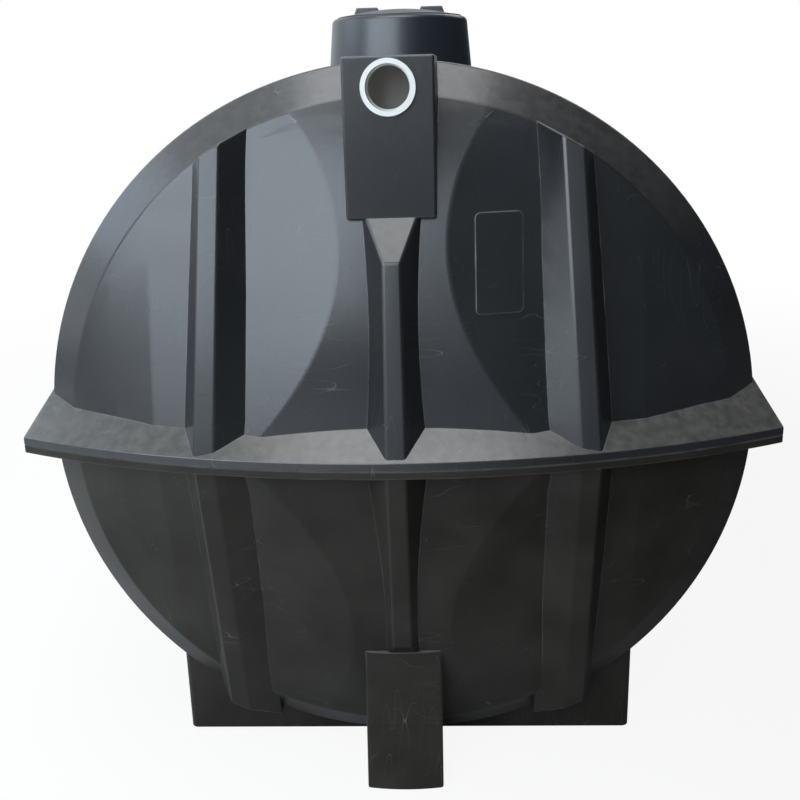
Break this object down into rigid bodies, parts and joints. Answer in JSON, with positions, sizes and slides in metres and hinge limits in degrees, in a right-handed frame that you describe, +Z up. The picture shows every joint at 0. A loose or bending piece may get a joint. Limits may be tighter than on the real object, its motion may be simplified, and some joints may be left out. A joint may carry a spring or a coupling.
{
  "type": "septic tank",
  "caption": "Horizontal buried septic tank of two black moulded half shells with ribbed end walls, a level flange, feet, a neck with a lid, an inlet and an outlet.",
  "frame": {"origin": "on the ground under the middle of the tank, at the centre of its footprint", "axes": "+Z up, -Y out of the inlet end along the barrel, +X to the right seen from the inlet end"},
  "size_m": [2.094, 2.514, 2.214],
  "materials": {
    "black_pe_upper": "satin moulded polyethylene with light scuffs",
    "black_pe_lower": "satin moulded polyethylene, dusty",
    "black_pe_top": "satin moulded polyethylene",
    "white_pvc": "semi-gloss pipe plastic",
    "grey_pvc": "dull pipe plastic",
    "rubber": "matte rubber"
  },
  "bodies": {
    "root": {"upper_shell_left": "black_pe_upper", "upper_shell_crown": "black_pe_upper", "upper_shell_right": "black_pe_upper", "lower_shell_left": "black_pe_lower", "lower_shell_bottom": "black_pe_lower", "lower_shell_right": "black_pe_lower", "front_end_upper": "black_pe_upper", "front_end_lower": "black_pe_lower", "back_end_upper": "black_pe_upper", "back_end_lower": "black_pe_lower", "upper_flange_front": "black_pe_upper", "upper_flange_back": "black_pe_upper", "upper_flange_left": "black_pe_upper", "upper_flange_right": "black_pe_upper", "lower_flange_front": "black_pe_lower", "lower_flange_back": "black_pe_lower", "lower_flange_left": "black_pe_lower", "lower_flange_right": "black_pe_lower", "front_rib_upper_left": "black_pe_upper", "front_rib_upper_middle": "black_pe_upper", "front_rib_upper_right": "black_pe_upper", "front_rib_lower_left": "black_pe_lower", "front_rib_lower_middle": "black_pe_lower", "front_rib_lower_right": "black_pe_lower", "back_rib_upper_left": "black_pe_upper", "back_rib_upper_middle": "black_pe_upper", "back_rib_upper_right": "black_pe_upper", "back_rib_lower_left": "black_pe_lower", "back_rib_lower_middle": "black_pe_lower", "back_rib_lower_right": "black_pe_lower", "inlet_pad": "black_pe_upper", "outlet_pad": "black_pe_upper", "front_leg": "black_pe_lower", "back_leg": "black_pe_lower", "front_saddle": "black_pe_lower", "back_saddle": "black_pe_lower", "neck": "black_pe_top", "lid": "black_pe_top", "inlet_socket": "white_pvc", "inlet_seal": "rubber", "inlet_tee": "grey_pvc", "outlet_socket": "white_pvc", "outlet_seal": "rubber", "outlet_tee": "grey_pvc"}
  },
  "joints": []
}
